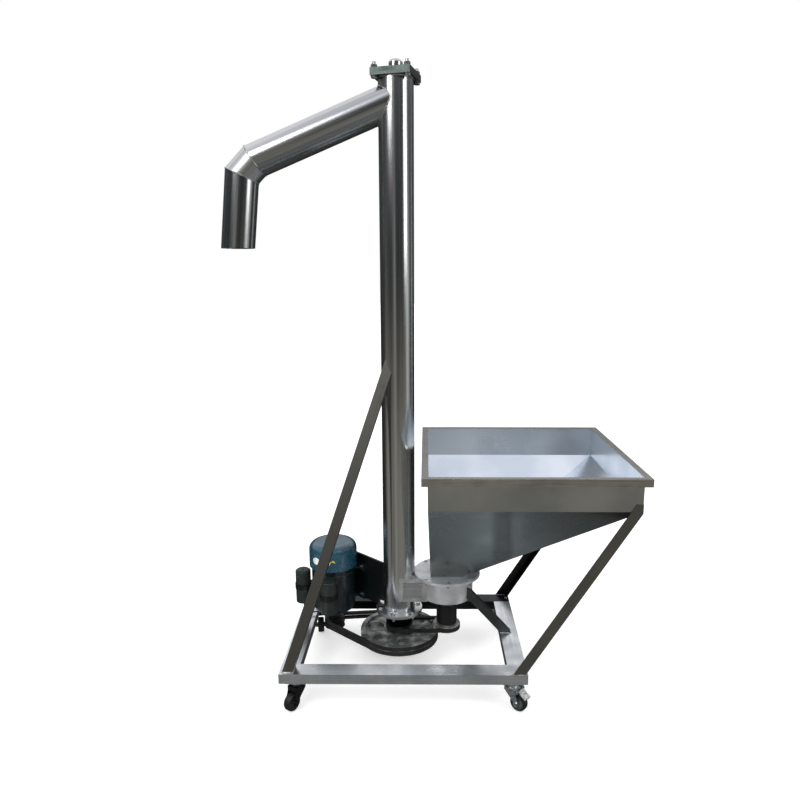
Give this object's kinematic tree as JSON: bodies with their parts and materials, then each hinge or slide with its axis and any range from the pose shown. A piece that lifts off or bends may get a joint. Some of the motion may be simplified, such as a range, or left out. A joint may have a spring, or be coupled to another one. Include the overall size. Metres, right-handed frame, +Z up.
{
  "type": "vertical grain auger",
  "caption": "Wheeled vertical screw conveyor: square hopper with rotary feeder, polished tube with side spout, and a belt drive from an upright electric motor.",
  "frame": {"origin": "under the middle of the machine's bounding box, at floor level", "axes": "+Z up, +X from the spout side to the hopper side, +Y from the front of the base to the back"},
  "size_m": [1.2182, 0.6434, 1.839],
  "materials": {
    "base_front_beam": "satin stainless",
    "base_back_beam": "satin stainless",
    "base_left_beam": "satin stainless",
    "base_right_beam": "satin stainless",
    "beam_end_caps": "satin stainless",
    "front_left_caster_fork": "black",
    "front_left_caster_wheel": "moulded tread",
    "front_right_caster_fork": "zinc plated",
    "front_right_caster_wheel": "moulded tread",
    "front_right_brake_pedal": "pressed, zinc plated",
    "rear_left_caster_fork": "black",
    "rear_left_caster_wheel": "moulded tread",
    "rear_right_caster_fork": "zinc plated",
    "rear_right_caster_wheel": "moulded tread",
    "rear_right_brake_pedal": "pressed, zinc plated",
    "caster_plates": "machined",
    "spout_branch": "polished stainless tube",
    "spout_elbow": "polished stainless tube",
    "spout_drop": "polished stainless tube",
    "conveyor_tube": "polished stainless tube",
    "tube_flanges": "machined",
    "bottom_bearing_housing": "black",
    "top_bearing_housing": "machined",
    "top_bearing_cap": "polished stainless tube",
    "tube_flange_bolts": "zinc plated",
    "auger_shaft": "machined",
    "auger_flighting": "machined",
    "main_pulley": "turned grey iron",
    "transfer_pulley": "turned grey iron",
    "feeder_drum": "blasted casting",
    "feeder_top_plate": "machined",
    "feeder_bearing_housing": "black",
    "feeder_rotor": "turned grey iron",
    "feeder_pulley": "turned grey iron",
    "feed_chute": "satin stainless",
    "chute_cover": "satin stainless",
    "feeder_fasteners": "zinc plated",
    "hopper_front_wall": "cold rolled sheet",
    "hopper_right_wall": "cold rolled sheet",
    "hopper_back_wall": "cold rolled sheet",
    "hopper_left_wall": "cold rolled sheet",
    "hopper_rim": "cold rolled sheet",
    "front_hopper_strut": "brushed, darker",
    "rear_hopper_strut": "brushed, darker",
    "tube_strut": "brushed, darker",
    "feeder_brace": "brushed, darker",
    "motor_mount_plate": "satin stainless",
    "motor_body": "satin",
    "motor_foot_bolts": "zinc plated",
    "motor_fan_cowl": "hammertone",
    "motor_shaft": "machined",
    "motor_fan": "matt",
    "motor_pulley": "turned grey iron",
    "start_capacitor": "painted can",
    "run_capacitor": "painted can",
    "capacitor_clamps": "zinc plated",
    "capacitor_lead": "matt",
    "drive_belts": "matt",
    "feeder_belt": "matt",
    "ball_bearings": "machined"
  },
  "bodies": {
    "machine": {"base_front_beam": "base_front_beam", "base_back_beam": "base_back_beam", "base_left_beam": "base_left_beam", "base_right_beam": "base_right_beam", "beam_end_caps": "beam_end_caps", "caster_plates": "caster_plates", "spout_branch": "spout_branch", "spout_elbow": "spout_elbow", "spout_drop": "spout_drop", "conveyor_tube": "conveyor_tube", "tube_flanges": "tube_flanges", "bottom_bearing_housing": "bottom_bearing_housing", "top_bearing_housing": "top_bearing_housing", "top_bearing_cap": "top_bearing_cap", "tube_flange_bolts": "tube_flange_bolts", "feeder_drum": "feeder_drum", "feeder_top_plate": "feeder_top_plate", "feeder_bearing_housing": "feeder_bearing_housing", "feed_chute": "feed_chute", "chute_cover": "chute_cover", "feeder_fasteners": "feeder_fasteners", "hopper_front_wall": "hopper_front_wall", "hopper_right_wall": "hopper_right_wall", "hopper_back_wall": "hopper_back_wall", "hopper_left_wall": "hopper_left_wall", "hopper_rim": "hopper_rim", "front_hopper_strut": "front_hopper_strut", "rear_hopper_strut": "rear_hopper_strut", "tube_strut": "tube_strut", "feeder_brace": "feeder_brace", "motor_mount_plate": "motor_mount_plate", "motor_body": "motor_body", "motor_foot_bolts": "motor_foot_bolts", "motor_fan_cowl": "motor_fan_cowl", "start_capacitor": "start_capacitor", "run_capacitor": "run_capacitor", "capacitor_clamps": "capacitor_clamps", "capacitor_lead": "capacitor_lead", "drive_belts": "drive_belts", "feeder_belt": "feeder_belt", "ball_bearings": "ball_bearings"},
    "auger": {"auger_shaft": "auger_shaft", "auger_flighting": "auger_flighting", "main_pulley": "main_pulley", "transfer_pulley": "transfer_pulley"},
    "motor_rotor": {"motor_shaft": "motor_shaft", "motor_pulley": "motor_pulley", "motor_fan": "motor_fan"},
    "feeder_drive": {"feeder_rotor": "feeder_rotor", "feeder_pulley": "feeder_pulley"},
    "front_left_swivel": {"front_left_caster_fork": "front_left_caster_fork"},
    "front_left_wheel": {"front_left_caster_wheel": "front_left_caster_wheel"},
    "front_right_swivel": {"front_right_caster_fork": "front_right_caster_fork"},
    "front_right_wheel": {"front_right_caster_wheel": "front_right_caster_wheel"},
    "front_right_brake": {"front_right_brake_pedal": "front_right_brake_pedal"},
    "rear_left_swivel": {"rear_left_caster_fork": "rear_left_caster_fork"},
    "rear_left_wheel": {"rear_left_caster_wheel": "rear_left_caster_wheel"},
    "rear_right_swivel": {"rear_right_caster_fork": "rear_right_caster_fork"},
    "rear_right_wheel": {"rear_right_caster_wheel": "rear_right_caster_wheel"},
    "rear_right_brake": {"rear_right_brake_pedal": "rear_right_brake_pedal"}
  },
  "joints": [
    {"name": "auger_spin", "type": "hinge", "parent": "machine", "child": "auger", "pos_m": [-0.08886, 0.00075, 0.101], "axis": [0, 0, 1], "continuous": true},
    {"name": "motor_spin", "type": "hinge", "parent": "machine", "child": "motor_rotor", "pos_m": [-0.31286, 0.06975, 0.101], "axis": [0, 0, 1], "continuous": true},
    {"name": "feeder_spin", "type": "hinge", "parent": "machine", "child": "feeder_drive", "pos_m": [0.06714, 0.00075, 0.221], "axis": [0, 0, 1], "continuous": true},
    {"name": "front_left_swivel_turn", "type": "hinge", "parent": "machine", "child": "front_left_swivel", "pos_m": [-0.37886, -0.27525, 0.078], "axis": [0, 0, 1], "continuous": true},
    {"name": "front_left_wheel_spin", "type": "hinge", "parent": "front_left_swivel", "child": "front_left_wheel", "pos_m": [-0.39147, -0.29567, 0.026], "axis": [0.8508, -0.5255, 0], "continuous": true},
    {"name": "front_right_swivel_turn", "type": "hinge", "parent": "machine", "child": "front_right_swivel", "pos_m": [0.25214, -0.27525, 0.078], "axis": [0, 0, 1], "continuous": true},
    {"name": "front_right_wheel_spin", "type": "hinge", "parent": "front_right_swivel", "child": "front_right_wheel", "pos_m": [0.27, -0.29129, 0.026], "axis": [0.6681, 0.7441, 0], "continuous": true},
    {"name": "front_right_brake_press", "type": "hinge", "parent": "front_right_swivel", "child": "front_right_brake", "pos_m": [0.27149, -0.29262, 0.0635], "axis": [0.6681, 0.7441, 0], "range_deg": [0, 8]},
    {"name": "rear_left_swivel_turn", "type": "hinge", "parent": "machine", "child": "rear_left_swivel", "pos_m": [-0.37886, 0.17475, 0.078], "axis": [0, 0, 1], "continuous": true},
    {"name": "rear_left_wheel_spin", "type": "hinge", "parent": "rear_left_swivel", "child": "rear_left_wheel", "pos_m": [-0.37452, 0.15114, 0.026], "axis": [0.9835, 0.1807, 0], "continuous": true},
    {"name": "rear_right_swivel_turn", "type": "hinge", "parent": "machine", "child": "rear_right_swivel", "pos_m": [0.25214, 0.17475, 0.078], "axis": [0, 0, 1], "continuous": true},
    {"name": "rear_right_wheel_spin", "type": "hinge", "parent": "rear_right_swivel", "child": "rear_right_wheel", "pos_m": [0.27134, 0.18915, 0.026], "axis": [-0.6, 0.8, 0], "continuous": true},
    {"name": "rear_right_brake_press", "type": "hinge", "parent": "rear_right_swivel", "child": "rear_right_brake", "pos_m": [0.27294, 0.19035, 0.0635], "axis": [-0.6, 0.8, 0], "range_deg": [0, 8]}
  ],
  "couplings": [
    {"joint": "motor_spin", "follows": "auger_spin", "ratio": 3.9683},
    {"joint": "feeder_spin", "follows": "auger_spin", "ratio": 1}
  ]
}
